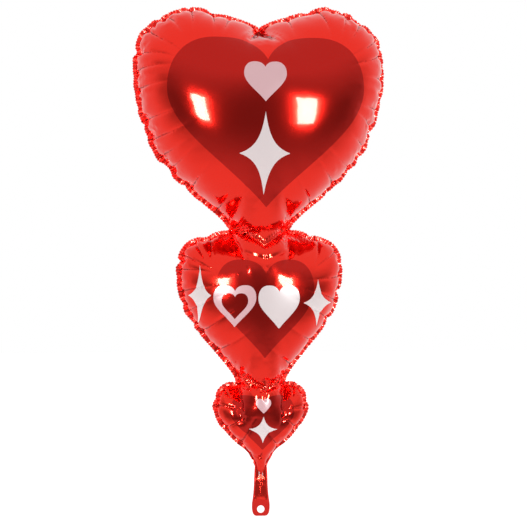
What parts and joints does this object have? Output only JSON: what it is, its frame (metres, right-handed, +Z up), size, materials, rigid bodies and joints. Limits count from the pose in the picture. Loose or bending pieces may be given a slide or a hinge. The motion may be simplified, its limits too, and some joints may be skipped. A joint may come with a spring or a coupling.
{
  "type": "heart foil balloon",
  "caption": "Column of linked heart-shaped foil balloons, large to small, with welded edges, printed hearts and sparkles, and a flat inflation tail with a ribbon hole.",
  "frame": {"origin": "centre of the ribbon hole in the welded end of the tail", "axes": "+Z up along the column of hearts from tail to large heart, +Y through the thickness towards the back, so the printed front faces -Y, +X to the right of a viewer facing the front"},
  "size_m": [0.498, 0.3007, 1.016],
  "materials": {
    "red_foil": "mirror-bright red metallised film",
    "welded_foil": "mirror-bright red metallised film, heat sealed",
    "dark_red_ink": "transparent dark red print on metallised film",
    "pink_ink": "opaque gloss pink print",
    "pale_ink": "opaque gloss white print with a pink cast",
    "clear_valve_film": "clear glossy film"
  },
  "bodies": {
    "upper_heart": {"upper_seam": "welded_foil", "upper_front_film": "red_foil", "upper_back_film": "red_foil", "upper_heart_panel_print": "dark_red_ink", "upper_small_heart_print": "pink_ink", "upper_sparkle_print": "pale_ink"},
    "middle_heart": {"middle_seam": "welded_foil", "middle_front_film": "red_foil", "middle_back_film": "red_foil", "middle_neck_front_film": "red_foil", "middle_neck_back_film": "red_foil", "middle_heart_panel_print": "dark_red_ink", "middle_left_sparkle_print": "pale_ink", "middle_outline_heart_print": "pale_ink", "middle_solid_heart_print": "pale_ink", "middle_right_sparkle_print": "pale_ink"},
    "lower_heart": {"lower_seam": "welded_foil", "lower_front_film": "red_foil", "lower_back_film": "red_foil", "lower_neck_front_film": "red_foil", "lower_neck_back_film": "red_foil", "lower_heart_panel_print": "dark_red_ink", "lower_small_heart_print": "pink_ink", "lower_sparkle_print": "pale_ink", "valve_lip_front_film": "clear_valve_film", "valve_lip_back_film": "clear_valve_film"},
    "tail": {"tail_end_weld": "welded_foil", "tail_side_welds": "welded_foil", "tail_front_film": "red_foil", "tail_back_film": "red_foil", "valve_inlet_front_film": "clear_valve_film", "valve_inlet_back_film": "clear_valve_film"}
  },
  "joints": [
    {"name": "upper_neck_bend", "type": "hinge", "parent": "upper_heart", "child": "middle_heart", "pos_m": [0, 0, 0.561], "axis": [1, 0, 0], "range_deg": [-20, 20], "stiffness_Nm_per_rad": 1},
    {"name": "lower_neck_bend", "type": "hinge", "parent": "middle_heart", "child": "lower_heart", "pos_m": [0, 0, 0.262], "axis": [1, 0, 0], "range_deg": [-20, 20], "stiffness_Nm_per_rad": 0.5},
    {"name": "tail_bend", "type": "hinge", "parent": "lower_heart", "child": "tail", "pos_m": [0, 0, 0.09], "axis": [1, 0, 0], "range_deg": [-70, 70]}
  ]
}
